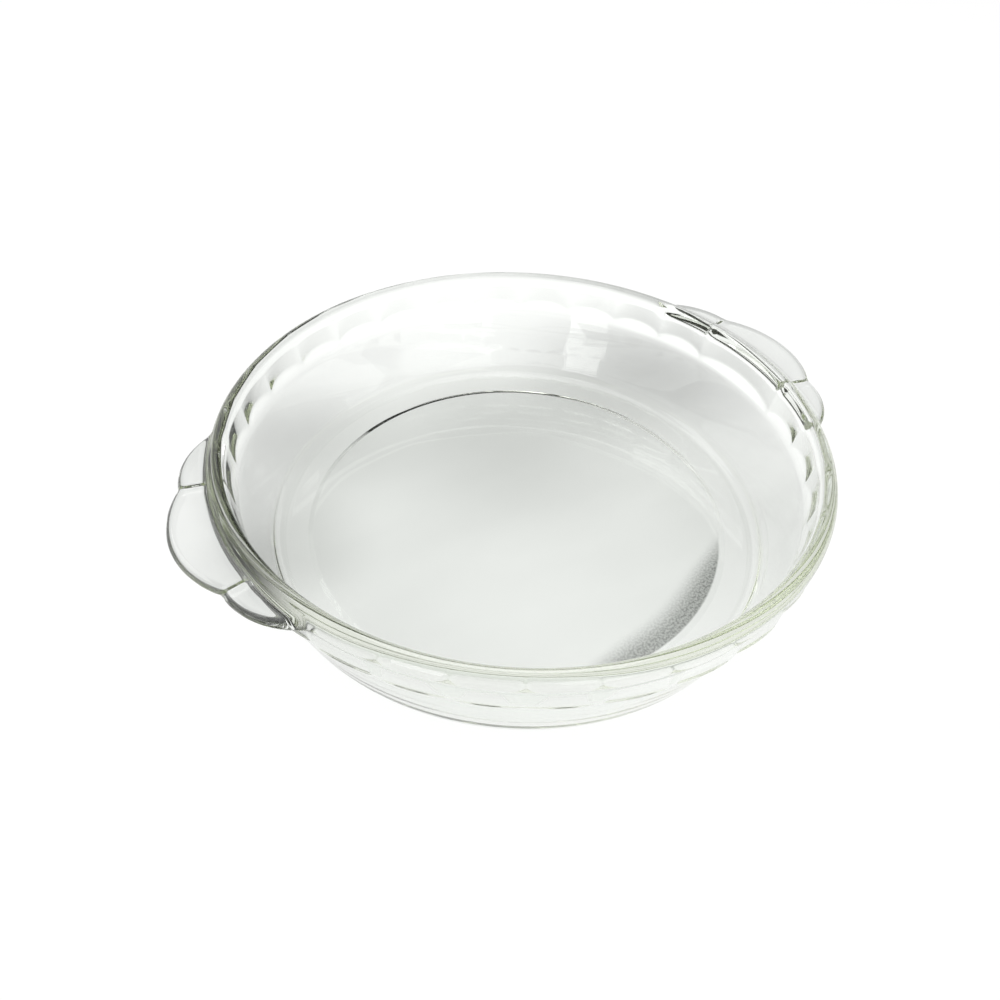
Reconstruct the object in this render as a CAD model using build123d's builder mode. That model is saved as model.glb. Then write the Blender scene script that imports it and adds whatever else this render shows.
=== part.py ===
from build123d import *

import os
from math import cos, radians, sin, sqrt, tan

# A round pie dish of clear pressed glass. It has a thick rounded lip, a band of shallow flutes under
# the lip, a side wall that leans outward, a flat floor on a ring-shaped foot, and two lug handles.
# The real dish is one moulding. Here it is parted where its form changes, so that each region is a
# solid of its own, and neighbouring regions meet face to face.
# Lengths are in millimetres and angles in degrees. The origin is in the middle of the plane that the
# dish stands on, +Z points up, and the two handles lie on the X axis.

# Overall sizes
rim_diameter = 240.0  # across the widest line of the lip
dish_height = 54.5  # from the standing face to the top of the lip

# Side wall, floor and foot
wall_thickness = 4.8  # square to the faces of the side wall
wall_lean = 19.5  # of the side wall, from upright
floor_thickness = 5.8  # from the standing face up to the floor's upper face
floor_corner_radius = 7.5  # inside, where the floor turns up into the side wall
heel_radius = 7.0  # outside, where the foot turns up into the side wall
foot_collar = 1.0  # how far the foot ring runs up the wall past the rounded floor corner
foot_width = 9.8  # of the flat ring that the dish stands on
foot_recess_depth = 0.5  # how far the middle of the floor is kept off the table
foot_recess_slope = 2.0  # width of the sloping step at the edge of that recess

# Lip
lip_width = 6.0  # from the inner edge of the lip to its widest line
lip_crown_share = 0.23  # how far across that width the highest line of the lip lies
neck_depth = 0.95  # how far the lip stands out over the flutes

# Fluted band under the lip
band_lean = 8.5  # of the inner face behind the lip and the flutes, from upright
band_height = 12.0  # from the lip down to the side wall
shoulder_height = 3.6  # lower part of the band, where it slopes in to the side wall
shoulder_radius = 2.5
flute_count = 30
flute_depth = 2.3  # from the crest of a flute's panel to the valley beside it, at the foot of the band
flute_top_depth = 0.25  # the same right under the lip, where the valleys run out
flute_set_back = 0.05  # how far the crests lie inside the lip's neck, so that the two don't just touch

# Handles
handle_reach = 17.1  # from the widest line of the lip to the tip of a handle
handle_thickness = 4.3
handle_drop = 3.3  # from the top of the lip down to the top of a handle
handle_half_angle = 27.5  # from the middle of a handle to its end, seen from the middle of the dish
handle_lobe_angle = 18.5  # from the middle of a handle to the crest of a side lobe
handle_lobe_share = 0.525  # reach of a side lobe's crest, of the whole reach
handle_notch_share = 0.6  # reach of the notch between two lobes, of the whole reach
handle_top_fillet = 5.0  # where the top of a handle runs up into the lip
handle_top_bite = 0.1  # how far that fillet runs into the lip, so that the two cross and don't just touch
handle_under_fillet = 4.0  # where the underside runs down into the fluted band
handle_edge_radius = 2.0
handle_groove_depth = 0.9  # of the grooves that part the lobes, in the underside
handle_groove_width = 2.2
cut_overrun = 2.0  # how far a cutting form runs past what it cuts

# Places worked out from the sizes above
rim_radius = rim_diameter / 2
flute_pitch = 360 / flute_count
lip_round = lip_width * (1 - lip_crown_share)
crown_radius = rim_radius - lip_round
lip_centre_z = dish_height - lip_round
lip_bottom_z = lip_centre_z - sqrt(lip_round**2 - (lip_round - neck_depth) ** 2)
panel_radius = rim_radius - neck_depth
crest_radius = panel_radius - flute_set_back
valley_radius = panel_radius - (flute_depth + flute_top_depth) / 2
band_bottom_z = lip_bottom_z - band_height
wall_span = wall_thickness / cos(radians(wall_lean))
handle_top_z = dish_height - handle_drop
handle_bottom_z = handle_top_z - handle_thickness
handle_root_radius = (crown_radius + valley_radius) / 2


def inner_radius(z):
    """Radius of the dish's inner face at a height, with the floor's corner left sharp."""
    band_foot_radius = rim_radius - lip_width - (dish_height - band_bottom_z) * tan(radians(band_lean))
    lean = wall_lean if z < band_bottom_z else band_lean
    return band_foot_radius + (z - band_bottom_z) * tan(radians(lean))


def polar(radius, angle):
    """Point at a radius and at an angle from the X axis."""
    return Vector(radius * cos(radians(angle)), radius * sin(radians(angle)))


def rounded_corner(before, corner, after, radius):
    """Start, middle and end of the arc that rounds the corner between two straight lines."""
    to_before = (before - corner).normalized()
    to_after = (after - corner).normalized()
    half_angle = radians(to_before.get_angle(to_after)) / 2
    reach = radius / tan(half_angle)
    middle = corner + (to_before + to_after).normalized() * (radius / sin(half_angle) - radius)
    return corner + to_before * reach, middle, corner + to_after * reach


# Section of the wall and the foot, as points at a radius and a height
wall_inner_top = Vector(inner_radius(band_bottom_z), band_bottom_z)
wall_outer_top = wall_inner_top + Vector(wall_span, 0)
floor_corner = Vector(inner_radius(floor_thickness), floor_thickness)
heel_corner = Vector(inner_radius(0) + wall_span, 0)
corner_arc = rounded_corner(wall_inner_top, floor_corner, Vector(0, floor_thickness), floor_corner_radius)
heel_arc = rounded_corner(Vector(0, 0), heel_corner, wall_outer_top, heel_radius)
wall_bottom_z = max(corner_arc[0].Y, heel_arc[2].Y) + foot_collar
wall_inner_bottom = Vector(inner_radius(wall_bottom_z), wall_bottom_z)
wall_outer_bottom = wall_inner_bottom + Vector(wall_span, 0)
recess_foot = Vector(heel_arc[0].X - foot_width, 0)
recess_edge = Vector(recess_foot.X - foot_recess_slope, foot_recess_depth)
floor_edge = Vector(recess_edge.X, floor_thickness)

# Section of the band and the lip
band_inner_top = Vector(inner_radius(lip_bottom_z), lip_bottom_z)
shoulder_corner = Vector(panel_radius, band_bottom_z + shoulder_height)
neck = Vector(panel_radius, lip_bottom_z)
shoulder_arc = rounded_corner(wall_outer_top, shoulder_corner, neck, shoulder_radius)
lip_corner = Vector(inner_radius(dish_height), dish_height)
crown = Vector(crown_radius, dish_height)
lip_inner_round = (crown_radius - lip_corner.X) * tan(radians(90 + band_lean) / 2)
lip_inner_arc = rounded_corner(band_inner_top, lip_corner, crown, lip_inner_round)
widest_point = Vector(rim_radius, lip_centre_z)

# Section of a handle: a fillet rolls from the lip onto its top, another from the flutes onto its
# underside
top_fillet_rise = handle_top_z + handle_top_fillet - lip_centre_z
top_fillet_reach = lip_round + handle_top_fillet - handle_top_bite
top_fillet_span = sqrt(top_fillet_reach**2 - top_fillet_rise**2)
lip_centre = Vector(crown_radius, lip_centre_z)
top_fillet_centre = lip_centre + Vector(top_fillet_span, top_fillet_rise)
to_lip = (lip_centre - top_fillet_centre).normalized()
to_top = Vector(0, -1)
top_fillet_arc = (
    top_fillet_centre + to_lip * handle_top_fillet,
    top_fillet_centre + (to_lip + to_top).normalized() * handle_top_fillet,
    top_fillet_centre + to_top * handle_top_fillet,
)
under_fillet_arc = rounded_corner(
    Vector(rim_radius + handle_reach, handle_bottom_z),
    Vector(valley_radius, handle_bottom_z),
    Vector(valley_radius, 0),
    handle_under_fillet,
)
handle_blank_radius = rim_radius + handle_reach + cut_overrun

# Plan of a handle: three lobes, with the notches in line with the flutes' valleys
handle_tip = polar(rim_radius + handle_reach, 0)
notch_radius = rim_radius + handle_reach * handle_notch_share
lobe_radius = rim_radius + handle_reach * handle_lobe_share
notches = [polar(notch_radius, side * flute_pitch) for side in (-1, 1)]
lobe_crests = [polar(lobe_radius, side * handle_lobe_angle) for side in (-1, 1)]
handle_ends = [polar(handle_root_radius, side * handle_half_angle) for side in (-1, 1)]

os.makedirs("parts", exist_ok=True)

# Base floor: a plain disc that the foot keeps off the table
with BuildPart() as base_floor:
    with BuildSketch(Plane.XY.offset(foot_recess_depth)):
        Circle(floor_edge.X)
    extrude(amount=floor_thickness - foot_recess_depth)
base_floor.part.label = "base_floor"
export_step(base_floor.part, "parts/base_floor.step")

# Foot ring: the flat ring that the dish stands on, with the rounded corners inside and outside
with BuildPart() as foot_ring:
    with BuildSketch(Plane.XZ):
        with BuildLine():
            Polyline(floor_edge, recess_edge, recess_foot, heel_arc[0])
            ThreePointArc(*heel_arc)
            Polyline(heel_arc[2], wall_outer_bottom, wall_inner_bottom, corner_arc[0])
            ThreePointArc(*corner_arc)
            Line(corner_arc[2], floor_edge)
        make_face()
    revolve(axis=Axis.Z)
foot_ring.part.label = "foot_ring"
export_step(foot_ring.part, "parts/foot_ring.step")

# Side wall: a plain leaning shell between the foot and the fluted band
with BuildPart() as side_wall:
    with BuildSketch(Plane.XZ):
        with BuildLine():
            Polyline(wall_inner_bottom, wall_outer_bottom, wall_outer_top, wall_inner_top, close=True)
        make_face()
    revolve(axis=Axis.Z)
side_wall.part.label = "side_wall"
export_step(side_wall.part, "parts/side_wall.step")

# Fluted band: a revolved band, trimmed to a ring of crowned panels with a valley between each two.
# The valleys run out under the lip and are deepest at the foot of the band. There is no valley behind
# the middle of a handle, where one wide panel takes the place of two.
valley_angles = [i * flute_pitch for i in range(flute_count) if 2 * i % flute_count]
with BuildPart() as fluted_band:
    with BuildSketch(Plane.XZ):
        with BuildLine():
            Polyline(neck, band_inner_top, wall_inner_top, wall_outer_top, shoulder_arc[0])
            ThreePointArc(*shoulder_arc)
            Line(shoulder_arc[2], neck)
        make_face()
    revolve(axis=Axis.Z)
    for z, depth in ((band_bottom_z, flute_depth), (lip_bottom_z, flute_top_depth)):
        valley = crest_radius - depth
        with BuildSketch(Plane.XY.offset(z)):
            with BuildLine():
                for start, end in zip(valley_angles, valley_angles[1:] + [valley_angles[0] + 360]):
                    panel_crest = polar(crest_radius, (start + end) / 2)
                    ThreePointArc(polar(valley, start), panel_crest, polar(valley, end))
            make_face()
    loft(ruled=True, mode=Mode.INTERSECT)
fluted_band.part.label = "fluted_band"
export_step(fluted_band.part, "parts/fluted_band.step")

# Rim lip: a thick bead, rounded tightly inside and fully outside
with BuildPart() as rim_lip:
    with BuildSketch(Plane.XZ):
        with BuildLine():
            Polyline(neck, band_inner_top, lip_inner_arc[0])
            ThreePointArc(*lip_inner_arc)
            ThreePointArc(crown, widest_point, neck)
        make_face()
    revolve(axis=Axis.Z)
rim_lip.part.label = "rim_lip"
export_step(rim_lip.part, "parts/rim_lip.step")

# Right handle: its section is turned about the dish's axis, trimmed to the plan with three lobes,
# rounded along the edges, grooved in the underside and fitted to the lip and the flutes
with BuildPart() as handle_right:
    with BuildSketch(Plane.XZ):
        with BuildLine():
            Line(Vector(handle_root_radius, top_fillet_arc[0].Y), top_fillet_arc[0])
            ThreePointArc(*top_fillet_arc)
            Polyline(
                top_fillet_arc[2],
                Vector(handle_blank_radius, handle_top_z),
                Vector(handle_blank_radius, handle_bottom_z),
                under_fillet_arc[0],
            )
            ThreePointArc(*under_fillet_arc)
            Polyline(
                under_fillet_arc[2],
                Vector(handle_root_radius, under_fillet_arc[2].Y),
                Vector(handle_root_radius, top_fillet_arc[0].Y),
            )
        make_face()
    revolve(axis=Axis.Z)
    with BuildSketch():
        with BuildLine():
            ThreePointArc(handle_ends[0], lobe_crests[0], notches[0])
            ThreePointArc(notches[0], handle_tip, notches[1])
            ThreePointArc(notches[1], lobe_crests[1], handle_ends[1])
            ThreePointArc(handle_ends[1], polar(handle_root_radius, 0), handle_ends[0])
        make_face()
    extrude(amount=dish_height, mode=Mode.INTERSECT)
    flat_edges = handle_right.edges().filter_by_position(Axis.Z, handle_top_z, handle_top_z)
    flat_edges += handle_right.edges().filter_by_position(Axis.Z, handle_bottom_z, handle_bottom_z)
    fillet([edge for edge in flat_edges if edge.radius < rim_radius], handle_edge_radius)
    for side in (-1, 1):
        groove_plane = Plane(origin=(0, 0, handle_bottom_z), z_dir=polar(1, side * flute_pitch))
        with BuildSketch(groove_plane.offset(handle_root_radius)):
            with BuildLine():
                Polyline(
                    (handle_groove_width / 2, 0),
                    (0, handle_groove_depth),
                    (-handle_groove_width / 2, 0),
                    close=True,
                )
            make_face()
        extrude(amount=handle_reach, mode=Mode.SUBTRACT)
    add(fluted_band.part, mode=Mode.SUBTRACT)
    add(rim_lip.part, mode=Mode.SUBTRACT)
handle_right.part.label = "handle_right"
export_step(handle_right.part, "parts/handle_right.step")

# Left handle: the same form on the other side of the dish
with BuildPart() as handle_left:
    mirror(handle_right.part, about=Plane.YZ)
handle_left.part.label = "handle_left"
export_step(handle_left.part, "parts/handle_left.step")
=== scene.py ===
"""Looks of the clear pressed-glass pie dish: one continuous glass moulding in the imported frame.

The dish is modelled as rings of points round its own axis. Each ring follows one line of the
moulding's section, so the floor, the wall, the fluted band, the lip and the two handles make one
closed skin of glass.
"""
import logging
import math
from dataclasses import dataclass
from enum import Enum

import bmesh
import bpy
import numpy as np
from mathutils import Matrix, Vector


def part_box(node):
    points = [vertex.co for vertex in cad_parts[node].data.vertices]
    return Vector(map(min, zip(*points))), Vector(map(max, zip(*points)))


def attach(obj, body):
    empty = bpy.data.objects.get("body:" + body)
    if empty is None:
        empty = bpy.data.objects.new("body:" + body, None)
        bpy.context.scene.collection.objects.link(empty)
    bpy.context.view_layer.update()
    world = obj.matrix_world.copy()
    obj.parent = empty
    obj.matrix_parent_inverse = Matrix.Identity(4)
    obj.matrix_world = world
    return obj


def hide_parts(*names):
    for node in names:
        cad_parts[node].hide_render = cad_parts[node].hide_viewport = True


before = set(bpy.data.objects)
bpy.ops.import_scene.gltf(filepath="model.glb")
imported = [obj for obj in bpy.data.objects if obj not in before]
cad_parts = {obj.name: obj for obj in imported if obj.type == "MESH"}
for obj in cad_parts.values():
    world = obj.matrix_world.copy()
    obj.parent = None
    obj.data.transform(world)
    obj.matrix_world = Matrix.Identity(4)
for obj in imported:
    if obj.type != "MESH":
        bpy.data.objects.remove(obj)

Tree = bpy.types.NodeTree
Socket = bpy.types.NodeSocket

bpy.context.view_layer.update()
MM = 0.001
GLASS_BOUNCES = 48
LOG = logging.getLogger("pie_dish")

# Where a Mix node that mixes colours has its sockets, whose names repeat
MIX_SHARE, MIX_FIRST_COLOUR, MIX_SECOND_COLOUR, MIX_COLOUR = 0, 6, 7, 2


class Ray(Enum):
    """Kinds of rays that the glass and the studio answer in different ways."""

    CAMERA = "Is Camera Ray"
    GLOSSY = "Is Glossy Ray"
    TRANSMISSION = "Is Transmission Ray"
    SHADOW = "Is Shadow Ray"
    DIFFUSE = "Is Diffuse Ray"


def soft_min(a: np.ndarray, b: np.ndarray, width: float) -> np.ndarray:
    """Lower of two fields, with the crossing rounded.

    Args:
        a: First field.
        b: Second field.
        width: How near the two fields are where the rounding starts.

    Returns:
        The rounded lower envelope.
    """
    near = np.clip(width - np.abs(a - b), 0, None) / width
    return np.minimum(a, b) - near * near * width / 4


def soft_max(a: np.ndarray, b: np.ndarray, width: float) -> np.ndarray:
    """Higher of two fields, with the crossing rounded.

    Args:
        a: First field.
        b: Second field.
        width: How near the two fields are where the rounding starts.

    Returns:
        The rounded upper envelope.
    """
    return -soft_min(-a, -b, width)


def rounded_overlap(a: np.ndarray, b: np.ndarray, radius: float) -> np.ndarray:
    """Distance to what two forms share, with its edge rounded.

    Args:
        a: Distance to the first form, negative inside it.
        b: Distance to the second form, negative inside it.
        radius: Radius of the rounded edge.

    Returns:
        Distance to the shared form, negative inside it.
    """
    outside = np.hypot(np.maximum(a + radius, 0), np.maximum(b + radius, 0))
    return outside - radius + np.minimum(np.maximum(a, b) + radius, 0)


def circle_through(a: np.ndarray, b: np.ndarray, c: np.ndarray) -> tuple[np.ndarray, float]:
    """Circle through three points of a plane.

    Args:
        a: First point.
        b: Second point.
        c: Third point.

    Returns:
        The circle's centre and its radius.
    """
    rows = np.array([b - a, c - a]) * 2
    centre = np.linalg.solve(rows, np.array([b @ b - a @ a, c @ c - a @ a]))
    return centre, float(np.hypot(*(a - centre)))


def polar(radius: float, angle: float) -> np.ndarray:
    """Point of the plan at a radius and at an angle in degrees from the X axis."""
    return radius * np.array([math.cos(math.radians(angle)), math.sin(math.radians(angle))])


def direction(azimuth: float, elevation: float) -> Vector:
    """Direction in space, with a length of 1.

    Args:
        azimuth: Angle in plan from the X axis, in degrees.
        elevation: Angle above the floor, in degrees.

    Returns:
        The direction.
    """
    turn, rise = math.radians(azimuth), math.radians(elevation)
    flat = math.cos(rise)
    return Vector((math.cos(turn) * flat, math.sin(turn) * flat, math.sin(rise)))


def rounded_path(
    corners: list[tuple], radii: list[float], line_step: float, turn_step: float
) -> np.ndarray:
    """Points along a line of straight runs whose corners are rounded.

    Args:
        corners: The sharp corners, as radius and height.
        radii: Radius at each corner, zero at both ends.
        line_step: Longest step on a straight run.
        turn_step: Largest turn of one step on an arc, in degrees.

    Returns:
        The points, from the first corner to the last.
    """
    points = [np.array(corners[0])]
    for before, corner, after, radius in zip(corners, corners[1:], corners[2:], radii[1:]):
        before, corner, after = (np.array(p, float) for p in (before, corner, after))
        to_before = (before - corner) / np.linalg.norm(before - corner)
        to_after = (after - corner) / np.linalg.norm(after - corner)
        half = math.acos(float(np.clip(to_before @ to_after, -1, 1))) / 2
        middle = to_before + to_after
        centre = corner + middle / np.linalg.norm(middle) * radius / math.sin(half)
        start, end = (corner + way * radius / math.tan(half) for way in (to_before, to_after))
        points += step_to(points[-1], start, line_step)
        turn = math.pi - 2 * half
        steps = max(2, math.ceil(math.degrees(turn) / turn_step))
        for i in range(1, steps + 1):
            share = i / steps
            way = (start - centre) * math.sin((1 - share) * turn)
            way += (end - centre) * math.sin(share * turn)
            points.append(centre + way / math.sin(turn))
    points += step_to(points[-1], np.array(corners[-1], float), line_step)
    return np.array(points)


def step_to(start: np.ndarray, end: np.ndarray, longest: float) -> list[np.ndarray]:
    """Points on a straight run, without its start.

    Args:
        start: Where the run starts.
        end: Where the run ends.
        longest: Longest step.

    Returns:
        The points up to and with the end.
    """
    length = float(np.linalg.norm(end - start))
    steps = math.ceil(length / longest)
    return [start + (end - start) * i / steps for i in range(1, steps + 1)]


@dataclass
class Moulding:
    """The whole pressed-glass dish, as sizes in metres and a skin of rings."""

    name: str = "glass_dish"
    wall_thickness: float = 4.8 * MM
    wall_lean: float = 19.5
    band_lean: float = 8.5
    floor_corner_radius: float = 7.5 * MM
    slope_break_radius: float = 18.0 * MM
    heel_radius: float = 7.0 * MM
    foot_width: float = 9.8 * MM
    foot_edge_radius: float = 0.6 * MM
    recess_slope: float = 2.0 * MM
    lip_width: float = 6.0 * MM
    lip_crown_share: float = 0.23
    shoulder_height: float = 3.6 * MM
    shoulder_softness: float = 0.8 * MM
    neck_softness: float = 0.5 * MM
    flute_count: int = 30
    flute_depth: float = 2.3 * MM
    flute_top_depth: float = 0.25 * MM
    valley_softness: float = 0.22
    handle_half_angle: float = 27.5
    lobe_angle: float = 18.5
    lobe_share: float = 0.525
    notch_share: float = 0.6
    handle_thickness: float = 4.3 * MM
    handle_drop: float = 3.3 * MM
    top_fillet: float = 5.0 * MM
    under_fillet: float = 4.0 * MM
    handle_edge_radius: float = 3.0 * MM
    notch_softness: float = 1.2 * MM
    groove_depth: float = 0.9 * MM
    groove_half_width: float = 2.0 * MM
    groove_softness: float = 0.4
    steps_a_flute: int = 16
    crowding: float = 0.72
    section_step: float = 6.0 * MM
    section_turn: float = 5.0
    join_drop: float = 2.0 * MM
    wall_top_drop: float = 2.0 * MM
    lip_points: int = 84
    band_rings: int = 22
    wall_rings: int = 9
    thin_share: float = 0.42
    thin_limit: int = 8
    trace_step: float = 0.12 * MM
    pull_count: int = 3
    turn_cost: float = 1.2 * MM
    wave_height: float = 0.05 * MM
    wave_count: int = 14
    wave_lengths: tuple = (22 * MM, 70 * MM)
    wave_phases: tuple = (0, 6.28)
    wave_seed: int = 7

    def __post_init__(self) -> None:
        """Works out the places that follow from the sizes and from the frame."""
        lip_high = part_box("rim_lip")[1]
        self.rim_radius = lip_high.x
        self.height = lip_high.z
        self.floor_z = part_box("base_floor")[1].z
        self.recess_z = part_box("base_floor")[0].z
        self.handle_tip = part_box("handle_right")[1].x
        self.neck_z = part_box("fluted_band")[1].z
        self.band_foot_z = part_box("fluted_band")[0].z
        self.lip_round = self.lip_width * (1 - self.lip_crown_share)
        self.crown_radius = self.rim_radius - self.lip_round
        self.lip_centre_z = self.height - self.lip_round
        drop = self.lip_centre_z - self.neck_z
        self.panel_radius = self.crown_radius + math.sqrt(self.lip_round**2 - drop**2)
        self.valley_radius = self.panel_radius - (self.flute_depth + self.flute_top_depth) / 2
        band_run = (self.height - self.band_foot_z) * self.slope(self.band_lean)
        self.band_foot_radius = self.rim_radius - self.lip_width - band_run
        self.wall_span = self.wall_thickness / math.cos(math.radians(self.wall_lean))
        self.handle_top_z = self.height - self.handle_drop
        self.handle_bottom_z = self.handle_top_z - self.handle_thickness
        self.under_fillet_r = self.valley_radius + self.under_fillet
        self.under_fillet_z = self.handle_bottom_z - self.under_fillet
        self.join_z = self.under_fillet_z - self.join_drop
        rise = self.handle_top_z + self.top_fillet - self.lip_centre_z
        reach = self.lip_round + self.top_fillet
        self.top_fillet_r = self.crown_radius + math.sqrt(reach**2 - rise**2)
        self.top_fillet_z = self.handle_top_z + self.top_fillet
        self.top_fillet_start_z = self.lip_centre_z + rise * self.lip_round / reach
        self.root_radius = (self.crown_radius + self.valley_radius) / 2
        self.lobes = self.lobe_circles()

    @staticmethod
    def slope(lean: float) -> float:
        """Radius gained for each unit of height on a face that leans by that many degrees."""
        return math.tan(math.radians(lean))

    def lobe_circles(self) -> list[tuple[np.ndarray, float]]:
        """Finds the circles of a handle's lobes, in plan.

        Returns:
            Centre and radius of the middle lobe, then of one side lobe.
        """
        reach = self.handle_tip - self.rim_radius
        pitch = 360 / self.flute_count
        notch = polar(self.rim_radius + reach * self.notch_share, pitch)
        crest = polar(self.rim_radius + reach * self.lobe_share, self.lobe_angle)
        end = polar(self.root_radius, self.handle_half_angle)
        mirrored = notch * np.array([1, -1])
        return [
            circle_through(mirrored, polar(self.handle_tip, 0), notch),
            circle_through(notch, crest, end),
        ]

    def columns(self) -> np.ndarray:
        """Spreads the skin's columns round the dish, crowded together at the valleys.

        Returns:
            The columns' angles in radians.
        """
        share = np.arange(self.steps_a_flute) / self.steps_a_flute
        share = share - self.crowding * np.sin(2 * np.pi * share) / (2 * np.pi)
        flutes = np.arange(self.flute_count)[:, None]
        return ((flutes + share[None, :]) * 2 * np.pi / self.flute_count).ravel()

    def inner_line(self) -> np.ndarray:
        """Draws the plunger's side of the section.

        Returns:
            Radii and heights, from the middle of the floor to the lip's crown.
        """
        wall_run = (self.band_foot_z - self.floor_z) * self.slope(self.wall_lean)
        corner_r = self.band_foot_radius - wall_run
        lip_corner_r = self.rim_radius - self.lip_width
        lip_inner_round = (self.crown_radius - lip_corner_r) * self.slope((90 + self.band_lean) / 2)
        corners = [
            (0, self.floor_z),
            (corner_r, self.floor_z),
            (self.band_foot_radius, self.band_foot_z),
            (lip_corner_r, self.height),
            (self.crown_radius, self.height),
        ]
        radii = [0, self.floor_corner_radius, self.slope_break_radius, lip_inner_round, 0]
        return rounded_path(corners, radii, self.section_step, self.section_turn)

    def under_line(self) -> np.ndarray:
        """Draws the mould's side of the section below the side wall.

        Returns:
            Radii and heights, from the foot of the side wall to the middle of the base.
        """
        wall_slope = self.slope(self.wall_lean)
        corner_r = self.band_foot_radius - self.band_foot_z * wall_slope + self.wall_span
        start_z = self.heel_radius
        start_r = corner_r + start_z * wall_slope
        heel_run = self.heel_radius * self.slope((90 - self.wall_lean) / 2)
        foot_r = corner_r - heel_run - self.foot_width
        corners = [
            (start_r, start_z),
            (corner_r, 0),
            (foot_r, 0),
            (foot_r - self.recess_slope, self.recess_z),
            (0, self.recess_z),
        ]
        radii = [0, self.heel_radius, self.foot_edge_radius, self.foot_edge_radius, 0]
        return rounded_path(corners, radii, self.section_step, self.section_turn)

    def flute(self, angle: np.ndarray, z: np.ndarray) -> np.ndarray:
        """Radius of the crowned panels, whose valleys deepen from the lip down to the shoulder.

        Args:
            angle: Angles from the X axis, in radians.
            z: Heights.

        Returns:
            The panel's radius, lowest in the valleys.
        """
        pitch = 2 * np.pi / self.flute_count
        from_axis = np.abs((angle + np.pi / 2) % np.pi - np.pi / 2)
        wide = from_axis < pitch
        half = np.where(wide, pitch, pitch / 2)
        from_valley = np.where(
            wide, pitch - from_axis, pitch / 2 - np.abs(from_axis % pitch - pitch / 2)
        )
        softness = math.radians(self.valley_softness)
        from_crest = half - np.hypot(from_valley, softness) + softness / 2
        share = np.clip((self.neck_z - z) / (self.neck_z - self.band_foot_z), 0, 1)
        deepening = (self.flute_depth - self.flute_top_depth) * share
        valley = self.panel_radius - self.flute_top_depth - deepening
        gap = self.panel_radius - valley * np.cos(half)
        centre = (self.panel_radius**2 - valley**2) / (2 * gap)
        crown = self.panel_radius - centre
        return centre * np.cos(from_crest) + np.sqrt(crown**2 - (centre * np.sin(from_crest)) ** 2)

    def outside(self, angle: np.ndarray, z: np.ndarray) -> np.ndarray:
        """Radius of the band, the shoulder and the side wall on the mould's side.

        Args:
            angle: Angles from the X axis, in radians.
            z: Heights.

        Returns:
            The radius at each angle and height.
        """
        wall_top = self.band_foot_radius + self.wall_span
        wall = wall_top - (self.band_foot_z - z) * self.slope(self.wall_lean)
        run = (self.panel_radius - wall_top) / self.shoulder_height
        shoulder = wall_top + (z - self.band_foot_z) * run
        lower = soft_max(wall, shoulder, self.shoulder_softness)
        return soft_min(self.flute(angle, z), lower, self.shoulder_softness)

    def skin(self, angle: np.ndarray, r: np.ndarray, z: np.ndarray) -> np.ndarray:
        """Distance to the outer skin of the lip, the band and the handles, negative in the glass.

        Args:
            angle: Angles from the X axis, in radians.
            r: Radii.
            z: Heights.

        Returns:
            The distance at each point.
        """
        bead = np.hypot(r - self.crown_radius, z - self.lip_centre_z) - self.lip_round
        cap_z = self.lip_centre_z - self.lip_round / 4
        band = np.maximum(r - self.outside(angle, z), z - cap_z)
        dish = soft_min(bead, band, self.neck_softness)
        x, y = np.abs(r * np.cos(angle)), np.abs(r * np.sin(angle))
        (middle, middle_r), (side, side_r) = self.lobes
        middle_lobe = np.hypot(x - middle[0], y - middle[1]) - middle_r
        side_lobe = np.hypot(x - side[0], y - side[1]) - side_r
        plan = soft_min(middle_lobe, side_lobe, self.notch_softness)
        section = np.maximum(self.handle_top(r, z), self.handle_under(r, z, x, y))
        section = np.maximum(section, self.root_radius - r)
        handle = rounded_overlap(section, plan, self.handle_edge_radius)
        return soft_min(dish, handle, self.neck_softness)

    def handle_top(self, r: np.ndarray, z: np.ndarray) -> np.ndarray:
        """Distance to a handle's top and to the fillet that runs from it up into the lip.

        Args:
            r: Radii.
            z: Heights.

        Returns:
            The distance at each point.
        """
        flat = z - self.handle_top_z
        fillet = self.top_fillet - np.hypot(r - self.top_fillet_r, z - self.top_fillet_z)
        top = np.where(r < self.top_fillet_r, fillet, flat)
        return np.maximum(top, z - self.top_fillet_start_z)

    def handle_under(
        self, r: np.ndarray, z: np.ndarray, x: np.ndarray, y: np.ndarray
    ) -> np.ndarray:
        """Distance to a handle's underside, its grooves and the fillet down into the flutes.

        Args:
            r: Radii.
            z: Heights.
            x: Distances from the YZ plane.
            y: Distances from the XZ plane.

        Returns:
            The distance at each point.
        """
        pitch = math.radians(360 / self.flute_count)
        from_groove = np.abs(y * math.cos(pitch) - x * math.sin(pitch))
        depth = self.groove_depth * soft_max(
            1 - from_groove / self.groove_half_width, np.zeros_like(r), self.groove_softness
        )
        flat = self.handle_bottom_z + depth - z
        fillet = self.under_fillet - np.hypot(r - self.under_fillet_r, z - self.under_fillet_z)
        under = np.where(r < self.under_fillet_r, fillet + depth, flat)
        return np.maximum(under, self.under_fillet_z - z)

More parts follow.
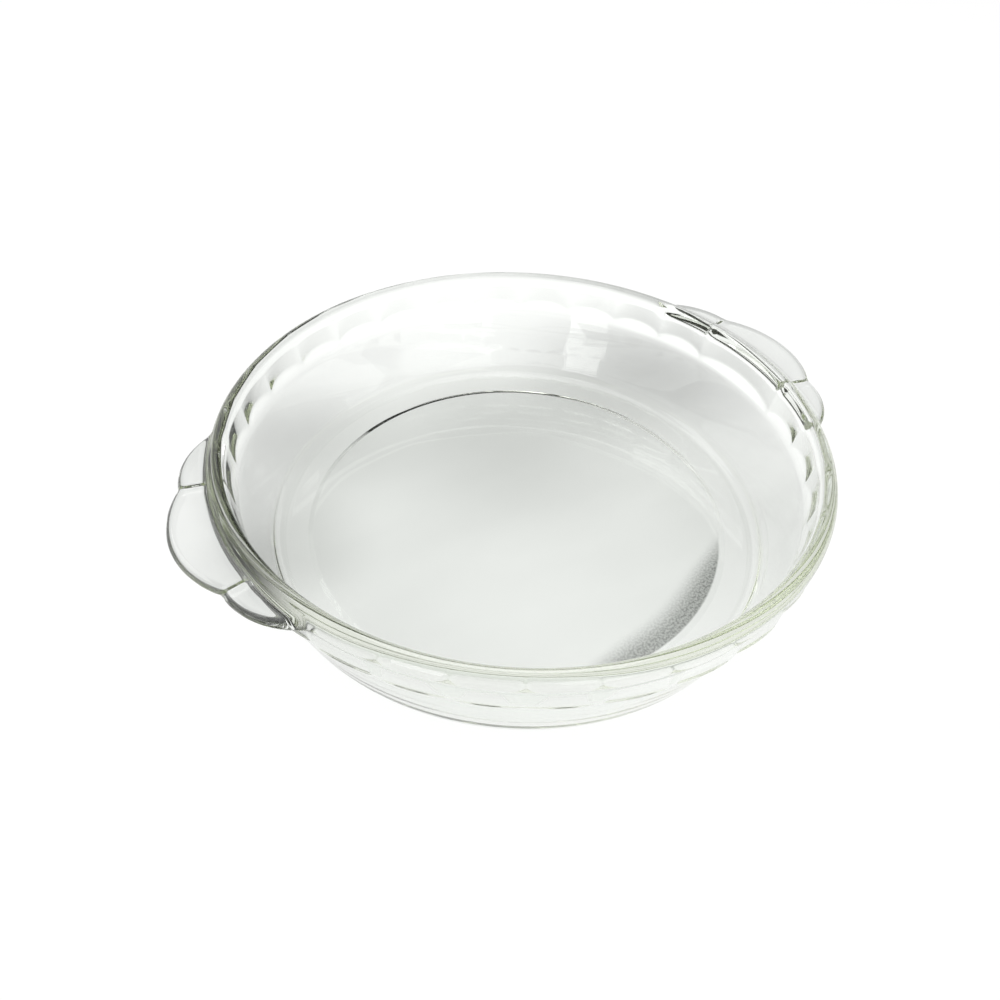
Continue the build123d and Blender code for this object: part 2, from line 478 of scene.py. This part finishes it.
    def trace(self, angle: np.ndarray) -> tuple[np.ndarray, np.ndarray]:
        """Follows the outer skin in each column, from the lip's crown down to the plain band.

        Args:
            angle: Angles of the columns, in radians.

        Returns:
            Radii and heights, one row for each step and one column for each angle.
        """
        r = np.full_like(angle, self.crown_radius)
        z = np.full_like(angle, self.height)
        rows = [(r, z)]
        nudge = self.trace_step / 50
        done = np.zeros(angle.shape, bool)
        longest = 2 * (self.handle_tip - self.crown_radius) + 2 * np.pi * self.lip_round
        for _ in range(int(2 * longest / self.trace_step)):
            slope_r, slope_z = self.gradient(angle, r, z, nudge)
            size = np.hypot(slope_r, slope_z)
            step = np.where(done, 0, self.trace_step)
            r, z = r + step * slope_z / size, z - step * slope_r / size
            for _ in range(self.pull_count):
                slope_r, slope_z = self.gradient(angle, r, z, nudge)
                pull = self.skin(angle, r, z) / (slope_r**2 + slope_z**2)
                pull = np.where(done, 0, np.clip(pull, -self.trace_step, self.trace_step))
                r, z = r - pull * slope_r, z - pull * slope_z
            rows.append((r, z))
            done |= (z < self.join_z) & (r < self.rim_radius)
            if done.all():
                break
        return np.array([row[0] for row in rows]), np.array([row[1] for row in rows])

    def gradient(
        self, angle: np.ndarray, r: np.ndarray, z: np.ndarray, nudge: float
    ) -> tuple[np.ndarray, np.ndarray]:
        """Slopes of the skin's distance.

        Args:
            angle: Angles from the X axis, in radians.
            r: Radii.
            z: Heights.
            nudge: How far to both sides the distance is read.

        Returns:
            The slope along the radius and the slope along the height.
        """
        slope_r = self.skin(angle, r + nudge, z) - self.skin(angle, r - nudge, z)
        slope_z = self.skin(angle, r, z + nudge) - self.skin(angle, r, z - nudge)
        return slope_r / (2 * nudge), slope_z / (2 * nudge)

    def lip_rings(self, angle: np.ndarray) -> tuple[np.ndarray, np.ndarray]:
        """Spreads the traced skin's points evenly along each column, closer where it turns.

        Args:
            angle: Angles of the columns, in radians.

        Returns:
            Radii and heights, one row for each ring.
        """
        r, z = self.trace(angle)
        run_r, run_z = np.diff(r, axis=0), np.diff(z, axis=0)
        length = np.hypot(run_r, run_z)
        way = np.unwrap(np.arctan2(run_z, run_r), axis=0)
        turn = np.abs(np.diff(way, axis=0, prepend=way[:1]))
        moving = length > self.trace_step / 10
        cost = np.where(moving, length + turn * self.turn_cost, 0)
        shares = np.linspace(0, 1, self.lip_points + 1)[1:]
        rings_r, rings_z = [], []
        for column in range(len(angle)):
            total = np.concatenate([[0], np.cumsum(cost[:, column])])
            rings_r.append(np.interp(shares * total[-1], total, r[:, column]))
            rings_z.append(np.interp(shares * total[-1], total, z[:, column]))
        return np.array(rings_r).T, np.array(rings_z).T

    def rings(self) -> list[np.ndarray]:
        """Lays the rings of the skin, with fewer points on the small ones.

        Returns:
            The points of each ring, from the floor's middle round to the base's middle.
        """
        angle = self.columns()
        inner, under = self.inner_line(), self.under_line()
        lip_r, lip_z = self.lip_rings(angle)
        wall_top = self.band_foot_z - self.wall_top_drop
        heights = np.concatenate([
            np.linspace(self.join_z, wall_top, self.band_rings)[1:],
            np.linspace(wall_top, under[0][1], self.wall_rings)[1:-1],
        ])
        rows = [(np.full_like(angle, r), np.full_like(angle, z)) for r, z in inner[1:]]
        rows += list(zip(lip_r, lip_z))
        for height in heights:
            z = np.full_like(angle, height)
            rows.append((self.outside(angle, z), z))
        rows += [(np.full_like(angle, r), np.full_like(angle, z)) for r, z in under[:-1]]
        rings = []
        for r, z in rows:
            every = 1
            while every < self.thin_limit and r.max() < self.thin_share * self.rim_radius / every:
                every *= 2
            ring = np.column_stack([r * np.cos(angle), r * np.sin(angle), z])
            rings.append(ring[::every])
        return rings

    def build(self) -> bpy.types.Object:
        """Joins the rings into one closed skin of glass.

        Returns:
            The dish, linked to the scene.
        """
        rings = self.rings()
        points = [np.array([[0, 0, self.floor_z]])] + rings + [np.array([[0, 0, self.recess_z]])]
        starts = np.cumsum([0] + [len(p) for p in points])
        faces = []
        for i in range(len(points) - 1):
            faces += self.strip(starts[i], len(points[i]), starts[i + 1], len(points[i + 1]))
        mesh = bpy.data.meshes.new(self.name)
        mesh.from_pydata(np.concatenate(points).tolist(), [], faces)
        self.face_outward(mesh)
        self.add_waves(mesh)
        mesh.shade_smooth()
        dish = bpy.data.objects.new(self.name, mesh)
        bpy.context.scene.collection.objects.link(dish)
        return dish

    @staticmethod
    def strip(first: int, first_count: int, second: int, second_count: int) -> list[tuple]:
        """Faces between two rings, of which one may have half the other's points or only one.

        Args:
            first: Index of the first ring's first point.
            first_count: Points in the first ring.
            second: Index of the second ring's first point.
            second_count: Points in the second ring.

        Returns:
            The faces as tuples of indices.
        """
        if first_count > second_count:
            return [face[::-1] for face in Moulding.strip(second, second_count, first, first_count)]
        faces = []
        for i in range(first_count):
            a, b = first + i, first + (i + 1) % first_count
            if first_count == second_count:
                faces.append((a, b, second + (i + 1) % second_count, second + i))
            elif first_count == 1:
                for k in range(second_count):
                    faces.append((first, second + (k + 1) % second_count, second + k))
            else:
                c, d, e = (second + (2 * i + k) % second_count for k in range(3))
                faces += [(a, d, c), (a, b, d), (b, e, d)]
        return faces

    @staticmethod
    def face_outward(mesh: bpy.types.Mesh) -> None:
        """Turns all faces so that their normals point out of the glass.

        Args:
            mesh: The skin.
        """
        work = bmesh.new()
        work.from_mesh(mesh)
        bmesh.ops.recalc_face_normals(work, faces=work.faces)
        if work.calc_volume(signed=True) < 0:
            bmesh.ops.reverse_faces(work, faces=work.faces)
        work.to_mesh(mesh)
        work.free()

    def add_waves(self, mesh: bpy.types.Mesh) -> None:
        """Sinks the skin a little in slow waves, as glass does when it chills against a mould.

        Args:
            mesh: The skin, whose foot stays flat.
        """
        count = len(mesh.vertices)
        points, normals = np.zeros(count * 3), np.zeros(count * 3)
        mesh.vertices.foreach_get("co", points)
        mesh.vertices.foreach_get("normal", normals)
        points, normals = points.reshape(-1, 3), normals.reshape(-1, 3)
        draw = np.random.default_rng(self.wave_seed)
        field = np.zeros(count)
        for _ in range(self.wave_count):
            way = draw.normal(size=3)
            length = draw.uniform(*self.wave_lengths)
            along = points @ way / np.linalg.norm(way)
            field += np.sin(along * 2 * np.pi / length + draw.uniform(*self.wave_phases))
        share = 0.5 + 0.5 * np.clip(field / math.sqrt(self.wave_count), -1, 1)
        on_foot = points[:, 2] < self.recess_z / 3
        depth = np.where(on_foot, 0, self.wave_height * share)
        points -= normals * depth[:, None]
        mesh.vertices.foreach_set("co", points.ravel())
        mesh.update()


@dataclass(frozen=True)
class PressedGlass:
    """Clear pressed glass with a faint green tint, wiped and a little smudged."""

    name: str = "clear_glass"
    base_colour: tuple = (0.985, 1.0, 0.985, 1.0)
    ior: float = 1.5
    roughness: float = 0.0
    depth_colour: tuple = (0.62, 0.70, 0.38, 1.0)
    depth_density: float = 4.0
    shadow_colour: tuple = (0.93, 0.955, 0.925, 1.0)
    wave_scale: float = 55.0
    wave_detail: float = 1.0
    wave_height: float = 0.012 * MM
    pit_scale: float = 42.0
    pit_reach: float = 0.022
    pit_height: float = 0.25 * MM
    wipe_scale: float = 30.0
    wipe_detail: float = 3.0
    wipe_stretch: tuple = (1.0, 7.0, 1.0)
    wipe_turn: float = 0.6
    wipe_range: tuple = (0.56, 0.8)
    wipe_roughness: float = 0.05

    def surface(self, tree: Tree, glass: bpy.types.Node) -> None:
        """Gives the glass its slow mould waves, a few tiny pits and faint wipe marks.

        Args:
            tree: The material's node tree.
            glass: The shader that the waves and the marks feed.
        """
        nodes, links = tree.nodes, tree.links
        place = nodes.new("ShaderNodeTexCoord")
        waves = nodes.new("ShaderNodeTexNoise")
        waves.inputs["Scale"].default_value = self.wave_scale
        waves.inputs["Detail"].default_value = self.wave_detail
        links.new(place.outputs["Object"], waves.inputs["Vector"])
        wave_bump = nodes.new("ShaderNodeBump")
        wave_bump.inputs["Distance"].default_value = self.wave_height
        links.new(waves.outputs[0], wave_bump.inputs["Height"])
        pits = nodes.new("ShaderNodeTexVoronoi")
        pits.inputs["Scale"].default_value = self.pit_scale
        links.new(place.outputs["Object"], pits.inputs["Vector"])
        pit = nodes.new("ShaderNodeMapRange")
        pit.interpolation_type = "SMOOTHSTEP"
        pit.inputs["From Max"].default_value = self.pit_reach
        links.new(pits.outputs["Distance"], pit.inputs["Value"])
        pit_bump = nodes.new("ShaderNodeBump")
        pit_bump.inputs["Distance"].default_value = self.pit_height
        links.new(pit.outputs[0], pit_bump.inputs["Height"])
        links.new(wave_bump.outputs[0], pit_bump.inputs["Normal"])
        links.new(pit_bump.outputs[0], glass.inputs["Normal"])
        turned = nodes.new("ShaderNodeMapping")
        turned.inputs["Scale"].default_value = self.wipe_stretch
        turned.inputs["Rotation"].default_value = (0, 0, self.wipe_turn)
        links.new(place.outputs["Object"], turned.inputs["Vector"])
        wipes = nodes.new("ShaderNodeTexNoise")
        wipes.inputs["Scale"].default_value = self.wipe_scale
        wipes.inputs["Detail"].default_value = self.wipe_detail
        links.new(turned.outputs[0], wipes.inputs["Vector"])
        wiped = nodes.new("ShaderNodeMapRange")
        wiped.interpolation_type = "SMOOTHSTEP"
        low, high = self.wipe_range
        wiped.inputs["From Min"].default_value = low
        wiped.inputs["From Max"].default_value = high
        wiped.inputs["To Min"].default_value = self.roughness
        wiped.inputs["To Max"].default_value = self.roughness + self.wipe_roughness
        links.new(wipes.outputs[0], wiped.inputs["Value"])
        links.new(wiped.outputs[0], glass.inputs["Roughness"])

    def material(self) -> bpy.types.Material:
        """Builds the glass.

        Returns:
            The material, with its colour in the depth of the glass.
        """
        material = bpy.data.materials.new(self.name)
        material.use_nodes = True
        nodes, links = material.node_tree.nodes, material.node_tree.links
        nodes.clear()
        glass = nodes.new("ShaderNodeBsdfPrincipled")
        glass.inputs["Base Color"].default_value = self.base_colour
        glass.inputs["IOR"].default_value = self.ior
        glass.inputs["Transmission Weight"].default_value = 1.0
        self.surface(material.node_tree, glass)
        clear = nodes.new("ShaderNodeBsdfTransparent")
        clear.inputs["Color"].default_value = self.shadow_colour
        path = nodes.new("ShaderNodeLightPath")
        unseen = nodes.new("ShaderNodeMath")
        unseen.operation = "MAXIMUM"
        links.new(path.outputs[Ray.SHADOW.value], unseen.inputs[0])
        links.new(path.outputs[Ray.DIFFUSE.value], unseen.inputs[1])
        mix = nodes.new("ShaderNodeMixShader")
        links.new(unseen.outputs[0], mix.inputs[0])
        links.new(glass.outputs[0], mix.inputs[1])
        links.new(clear.outputs[0], mix.inputs[2])
        depth = nodes.new("ShaderNodeVolumeAbsorption")
        depth.inputs["Color"].default_value = self.depth_colour
        depth.inputs["Density"].default_value = self.depth_density
        output = nodes.new("ShaderNodeOutputMaterial")
        links.new(mix.outputs[0], output.inputs["Surface"])
        links.new(depth.outputs[0], output.inputs["Volume"])
        return material


@dataclass(frozen=True)
class Window:
    """A soft lamp with the shape of a window, turned to the dish."""

    name: str
    azimuth: float
    elevation: float
    width: float
    height: float
    level: float
    distance: float = 1.5

    def hang(self) -> None:
        """Makes the lamp and links it to the scene."""
        data = bpy.data.lights.new(self.name, "AREA")
        data.shape = "RECTANGLE"
        data.size, data.size_y = self.width, self.height
        data.energy = self.level * math.pi * self.width * self.height
        lamp = bpy.data.objects.new(self.name, data)
        way = direction(self.azimuth, self.elevation)
        lamp.location = way * self.distance
        lamp.rotation_euler = way.to_track_quat("Z", "Y").to_euler()
        bpy.context.scene.collection.objects.link(lamp)


@dataclass(frozen=True)
class FloorPaintedLight:
    """Soft painted shade on the floor, painted light where its change is positive; the glass shows
    it.
    """

    x: float
    y: float
    reach: float
    change: float


@dataclass(frozen=True)
class PaintedContactShadow:
    """A grainy painted contact shadow on the floor, curved along the dish's ring and tapering to
    both ends.
    """

    radius: float = 86.0 * MM
    width: float = 13.5 * MM
    middle: float = -72.0
    half_angle: float = 43.0
    change: float = -0.55
    edge: float = 1.0 * MM
    full_at: float = 0.8
    grain: float = 0.5
    grain_scale: float = 1100.0
    grain_range: tuple = (0.35, 0.65)


@dataclass(frozen=True)
class Flag:
    """A dark board beyond the lamps, which the edges of the glass gather."""

    azimuth: float
    elevation: float
    reach: float
    edge: float = 3.0


@dataclass
class Studio:
    """Pale floor, soft light all round, dark boards behind the dish and the lamps.

    The camera sees the floor white. Rays that come by way of the glass see its painted shade and
    light, its clouds and a painted contact shadow, and those that turned often in the glass see
    more painted shade on the deep side.
    """

    floor_size: float = 8.0
    floor_colour: tuple = (0.9, 0.9, 0.9, 1.0)
    camera_share: float = 0.75
    through_share: float = 0.85
    # Painted shade: the floor that the glass shows is darker than the white the camera sees, for
    # the dish's shadow
    through_shade_level: float = 0.865
    # Painted light: away from the dish the floor that the glass shows grows lighter, out of the
    # painted shade
    outer_start: float = 140 * MM
    outer_end: float = 215 * MM
    painted_light_rise: float = 0.22
    # Painted shade: rays that turned often in the glass see the floor darker behind the dish, for
    # dark surroundings
    deep_start: float = 2.3
    deep_end: float = 3.8
    deep_painted_shade: float = 0.96
    deep_azimuth: float = 116.0
    deep_near: float = 15 * MM
    deep_far: float = 60 * MM
    flag_colour: tuple = (0.012, 0.014, 0.006, 1.0)
    # Painted shadows of the dish where the change is negative, painted pools of light where it is
    # positive
    painted_light_patches: tuple = (
        FloorPaintedLight(20 * MM, 150 * MM, 110 * MM, 0.10),
        FloorPaintedLight(20 * MM, 50 * MM, 85 * MM, -0.19),
        FloorPaintedLight(118 * MM, 60 * MM, 88 * MM, -0.38),
        FloorPaintedLight(-70 * MM, 88 * MM, 65 * MM, -0.22),
        FloorPaintedLight(-98 * MM, 28 * MM, 48 * MM, -0.25),
        FloorPaintedLight(-20 * MM, -65 * MM, 75 * MM, 0.08),
        FloorPaintedLight(105 * MM, -50 * MM, 70 * MM, -0.16),
        FloorPaintedLight(20 * MM, -150 * MM, 85 * MM, 0.15),
    )
    # Painted contact shadow along the dish's ring on the front-right side
    contact_shadow: PaintedContactShadow = PaintedContactShadow()
    cloud_scale: float = 9.0
    cloud_detail: float = 4.0
    cloud_stretch: tuple = (1.0, 3.2, 1.0)
    cloud_turn: float = -31.0
    cloud_depth: float = 0.07
    flags: tuple = (Flag(-30.0, 36.0, 46.0), Flag(52.0, 34.0, 26.0), Flag(225.0, 45.0, 24.0))
    windows: tuple = (
        Window("overhead", 60.0, 79.0, 0.8, 0.5, 1.6, 1.3),
        Window("back_window", 130.0, 44.0, 0.75, 0.6, 1.8),
        Window("front_window", -70.0, 20.0, 2.2, 0.7, 1.0),
        Window("side_window", 212.0, 14.0, 0.40, 0.75, 2.2),
    )

    @staticmethod
    def math_node(tree: Tree, kind: str, *values: Socket | float) -> Socket:
        """Adds a Math node.

        Args:
            tree: The node tree.
            kind: The node's operation.
            values: Sockets to link or numbers to set, in order.

        Returns:
            The node's output.
        """
        node = tree.nodes.new("ShaderNodeMath")
        node.operation = kind
        for socket, value in zip(node.inputs, values):
            if isinstance(value, Socket):
                tree.links.new(value, socket)
            else:
                socket.default_value = value
        return node.outputs[0]

    @staticmethod
    def measure(tree: Tree, kind: str, place: Socket, other: tuple = (0, 0, 0)) -> Socket:
        """Adds a Vector Math node that gives one value.

        Args:
            tree: The node tree.
            kind: The node's operation.
            place: The points or directions that are measured.
            other: The fixed vector that they are measured against.

        Returns:
            The value.
        """
        node = tree.nodes.new("ShaderNodeVectorMath")
        node.operation = kind
        tree.links.new(place, node.inputs[0])
        node.inputs[1].default_value = other
        return node.outputs["Value"]

    def by_glass(self, tree: Tree, path: bpy.types.Node) -> Socket:
        """Mask of the rays that come by way of the glass."""
        glossy, through = (path.outputs[ray.value] for ray in (Ray.GLOSSY, Ray.TRANSMISSION))
        return self.math_node(tree, "MAXIMUM", glossy, through)

    @staticmethod
    def ramp(tree: Tree, value: Socket, low: float, high: float) -> Socket:
        """Adds a smooth step.

        Args:
            tree: The node tree.
            value: What the step follows.
            low: Value up to which the step is 0.
            high: Value from which it is 1.

        Returns:
            The step.
        """
        node = tree.nodes.new("ShaderNodeMapRange")
        node.interpolation_type = "SMOOTHSTEP"
        tree.links.new(value, node.inputs["Value"])
        node.inputs["From Min"].default_value = low
        node.inputs["From Max"].default_value = high
        return node.outputs[0]

    def level_with_painted_light(self, tree: Tree) -> tuple[Socket, Socket]:
        """Level of the floor as the glass shows it, with its painted shade and painted light.

        Args:
            tree: The floor's node tree.

        Returns:
            The level, and the share of painted shade that rays which turned often in the glass see.
        """
        place = tree.nodes.new("ShaderNodeNewGeometry").outputs["Position"]
        radius = self.measure(tree, "LENGTH", place)
        level = self.clouded(tree, place, self.painted_light_places(tree, place))
        # Painted light: the floor grows lighter away from the dish
        outer = self.ramp(tree, radius, self.outer_start, self.outer_end)
        level = self.math_node(tree, "MULTIPLY_ADD", outer, self.painted_light_rise, level)
        level = self.math_node(tree, "ADD", level, self.painted_contact_shadow(tree, place, radius))
        # Painted shade on the floor behind the dish, for rays that turned often in the glass
        cosine = self.cosine_from(tree, place, radius, self.deep_azimuth)
        reach = self.math_node(tree, "MULTIPLY", cosine, radius)
        behind = self.ramp(tree, reach, self.deep_near, self.deep_far)
        path = tree.nodes.new("ShaderNodeLightPath")
        deep = self.ramp(tree, path.outputs["Ray Depth"], self.deep_start, self.deep_end)
        deep_shade = self.math_node(tree, "MULTIPLY", deep, behind)
        deep_shade = self.math_node(tree, "MULTIPLY", deep_shade, self.deep_painted_shade)
        kept = self.math_node(tree, "SUBTRACT", 1.0, deep_shade)
        return self.math_node(tree, "MULTIPLY", level, kept), deep_shade

    def painted_light_places(self, tree: Tree, place: Socket) -> Socket:
        """Level of the floor with its soft painted shadows and painted pools of light.

        Args:
            tree: The node tree.
            place: The floor's points.

        Returns:
            The level at each point.
        """
        level = self.through_shade_level
        for painted_patch in self.painted_light_patches:
            away = self.measure(tree, "DISTANCE", place, (painted_patch.x, painted_patch.y, 0))
            outward = self.ramp(tree, away, 0, painted_patch.reach)
            change = self.math_node(tree, "MULTIPLY_ADD", outward, -painted_patch.change, painted_patch.change)
            level = self.math_node(tree, "ADD", change, level)
        return level

    def clouded(self, tree: Tree, place: Socket, level: Socket) -> Socket:
        """Adds long faint clouds to the floor's level.

        Args:
            tree: The node tree.
            place: The floor's points.
            level: The level so far.

        Returns:
            The clouded level.
        """
        turned = tree.nodes.new("ShaderNodeMapping")
        tree.links.new(place, turned.inputs["Vector"])
        turned.inputs["Rotation"].default_value = (0, 0, -math.radians(self.cloud_turn))
        turned.inputs["Scale"].default_value = self.cloud_stretch
        cloud = tree.nodes.new("ShaderNodeTexNoise")
        cloud.inputs["Scale"].default_value = self.cloud_scale
        cloud.inputs["Detail"].default_value = self.cloud_detail
        tree.links.new(turned.outputs[0], cloud.inputs["Vector"])
        centred = self.math_node(tree, "SUBTRACT", cloud.outputs[0], 0.5)
        return self.math_node(tree, "MULTIPLY_ADD", centred, 2 * self.cloud_depth, level)

    def cosine_from(self, tree: Tree, place: Socket, radius: Socket, azimuth: float) -> Socket:
        """Cosine of the angle, in plan, between each point's direction and one azimuth.

        Args:
            tree: The node tree.
            place: The floor's points.
            radius: Their distance from the dish's axis.
            azimuth: The azimuth in degrees.

        Returns:
            The cosine at each point.
        """
        turn = math.radians(azimuth)
        way = (math.cos(turn), math.sin(turn), 0)
        along = self.measure(tree, "DOT_PRODUCT", place, way)
        return self.math_node(tree, "DIVIDE", along, radius)

    def painted_contact_shadow(self, tree: Tree, place: Socket, radius: Socket) -> Socket:
        """Change of the floor's level in the grainy painted contact shadow.

        Args:
            tree: The node tree.
            place: The floor's points.
            radius: Their distance from the dish's axis.

        Returns:
            The change at each point, zero outside the painted contact shadow.
        """
        form = self.contact_shadow
        cosine = self.cosine_from(tree, place, radius, form.middle)
        share = self.ramp(tree, cosine, math.cos(math.radians(form.half_angle)), 1.0)
        inward = self.math_node(tree, "SUBTRACT", radius, form.radius)
        body = self.math_node(tree, "MULTIPLY_ADD", inward, 1 / form.width, share)
        body = self.ramp(tree, body, 0.0, form.full_at)
        outside = self.ramp(tree, radius, form.radius, form.radius + form.edge)
        inside = self.math_node(tree, "SUBTRACT", 1.0, outside)
        body = self.math_node(tree, "MULTIPLY", body, inside)
        grains = tree.nodes.new("ShaderNodeTexNoise")
        grains.inputs["Scale"].default_value = form.grain_scale
        tree.links.new(place, grains.inputs["Vector"])
        grain = self.ramp(tree, grains.outputs[0], *form.grain_range)
        grain = self.math_node(tree, "MULTIPLY_ADD", grain, form.grain, 1 - form.grain / 2)
        body = self.math_node(tree, "MULTIPLY", body, grain)
        return self.math_node(tree, "MULTIPLY", body, form.change)

    def floor(self) -> None:
        """Makes the floor, white where the camera sees it and darker in the dish's shadow, with
        painted shade and light where the glass shows it.
        """
        half = self.floor_size / 2
        mesh = bpy.data.meshes.new("studio_floor")
        corners = [(-half, -half, 0), (half, -half, 0), (half, half, 0), (-half, half, 0)]
        mesh.from_pydata(corners, [], [(0, 1, 2, 3)])
        floor = bpy.data.objects.new("studio_floor", mesh)
        bpy.context.scene.collection.objects.link(floor)
        material = bpy.data.materials.new("studio_floor")
        material.use_nodes = True
        tree = material.node_tree
        tree.nodes.clear()
        lit = tree.nodes.new("ShaderNodeBsdfDiffuse")
        lit.inputs["Color"].default_value = self.floor_colour
        path = tree.nodes.new("ShaderNodeLightPath")
        through = self.by_glass(tree, path)
        level, deep_shade = self.level_with_painted_light(tree)
        camera_ray = path.outputs[Ray.CAMERA.value]
        camera_part = self.math_node(tree, "MULTIPLY", camera_ray, self.camera_share)
        rest = 1 - self.through_share
        share = self.math_node(tree, "MULTIPLY_ADD", deep_shade, rest, self.through_share)
        seen = self.math_node(tree, "MULTIPLY_ADD", through, share, camera_part)
        # Through the glass the floor glows at its level, with the painted shade and light in it
        painted_shade = self.math_node(tree, "SUBTRACT", level, 1.0)
        strength = self.math_node(tree, "MULTIPLY_ADD", painted_shade, through, 1.0)
        glow = tree.nodes.new("ShaderNodeEmission")
        tree.links.new(strength, glow.inputs["Strength"])
        mix = tree.nodes.new("ShaderNodeMixShader")
        tree.links.new(seen, mix.inputs[0])
        tree.links.new(lit.outputs[0], mix.inputs[1])
        tree.links.new(glow.outputs[0], mix.inputs[2])
        output = tree.nodes.new("ShaderNodeOutputMaterial")
        tree.links.new(mix.outputs[0], output.inputs["Surface"])
        mesh.materials.append(material)

    def world(self) -> None:
        """Sets the surroundings: white, with the dark boards only where the glass shows them."""
        world = bpy.data.worlds.new("studio")
        bpy.context.scene.world = world
        world.use_nodes = True
        tree = world.node_tree
        tree.nodes.clear()
        way = tree.nodes.new("ShaderNodeTexCoord").outputs["Generated"]
        dark = 0.0
        for flag in self.flags:
            middle = tuple(direction(flag.azimuth, flag.elevation))
            cosine = self.measure(tree, "DOT_PRODUCT", way, middle)
            inner = math.cos(math.radians(flag.reach))
            outer = math.cos(math.radians(flag.reach + flag.edge))
            inside = self.ramp(tree, cosine, outer, inner)
            dark = self.math_node(tree, "MAXIMUM", dark, inside)
        through = self.by_glass(tree, tree.nodes.new("ShaderNodeLightPath"))
        dark = self.math_node(tree, "MULTIPLY", dark, through)
        colour = tree.nodes.new("ShaderNodeMix")
        colour.data_type = "RGBA"
        tree.links.new(dark, colour.inputs[MIX_SHARE])
        colour.inputs[MIX_FIRST_COLOUR].default_value = (1, 1, 1, 1)
        colour.inputs[MIX_SECOND_COLOUR].default_value = self.flag_colour
        background = tree.nodes.new("ShaderNodeBackground")
        tree.links.new(colour.outputs[MIX_COLOUR], background.inputs["Color"])
        output = tree.nodes.new("ShaderNodeOutputWorld")
        tree.links.new(background.outputs[0], output.inputs["Surface"])

    def build(self) -> None:
        """Sets up the floor, the surroundings and the lamps."""
        self.floor()
        self.world()
        for window in self.windows:
            window.hang()


@dataclass
class PhotoCamera:
    """The camera at the photograph's place, as its aim, its turn and its distance."""

    azimuth: float = -31.40
    elevation: float = 44.03
    roll: float = 2.89
    distance: float = 368.27 * MM
    aim: tuple = (-0.80 * MM, 13.74 * MM, 0.0)
    lens: float = 29.73
    sensor: float = 36.0
    nearest: float = 10 * MM

    def build(self) -> None:
        """Places the camera and makes it the scene's own."""
        turn, rise, roll = (math.radians(a) for a in (self.azimuth, self.elevation, self.roll))
        back = Vector((
            math.sin(turn) * math.cos(rise), -math.cos(turn) * math.cos(rise), math.sin(rise)
        ))
        right = Vector((math.cos(turn), math.sin(turn), 0))
        up = back.cross(right)
        rolled_right = right * math.cos(roll) + up * math.sin(roll)
        rolled_up = up * math.cos(roll) - right * math.sin(roll)
        data = bpy.data.cameras.new("photo_camera")
        data.lens = self.lens
        data.sensor_width = self.sensor
        data.sensor_fit = "HORIZONTAL"
        data.clip_start = self.nearest
        camera = bpy.data.objects.new("photo_camera", data)
        camera.matrix_world = Matrix.Translation(Vector(self.aim) + back * self.distance) @ Matrix(
            (rolled_right, rolled_up, back)
        ).transposed().to_4x4()
        bpy.context.scene.collection.objects.link(camera)
        bpy.context.scene.camera = camera


def main() -> None:
    """Builds the camera, the dish and the studio."""
    logging.basicConfig(level=logging.INFO, format="%(name)s: %(message)s")
    scene = bpy.context.scene
    scene.view_settings.view_transform = "Standard"
    scene.cycles.caustics_reflective = False
    scene.cycles.caustics_refractive = False
    scene.cycles.max_bounces = GLASS_BOUNCES
    scene.cycles.transmission_bounces = GLASS_BOUNCES
    scene.cycles.glossy_bounces = GLASS_BOUNCES
    scene.cycles.transparent_max_bounces = GLASS_BOUNCES
    PhotoCamera().build()
    dish = Moulding().build()
    dish.data.materials.append(PressedGlass().material())
    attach(dish, "root")
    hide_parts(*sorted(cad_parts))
    LOG.info("%s: %d points, %d faces", dish.name, len(dish.data.vertices), len(dish.data.polygons))
    Studio().build()
    bpy.context.view_layer.update()


if __name__ == "__main__":
    main()
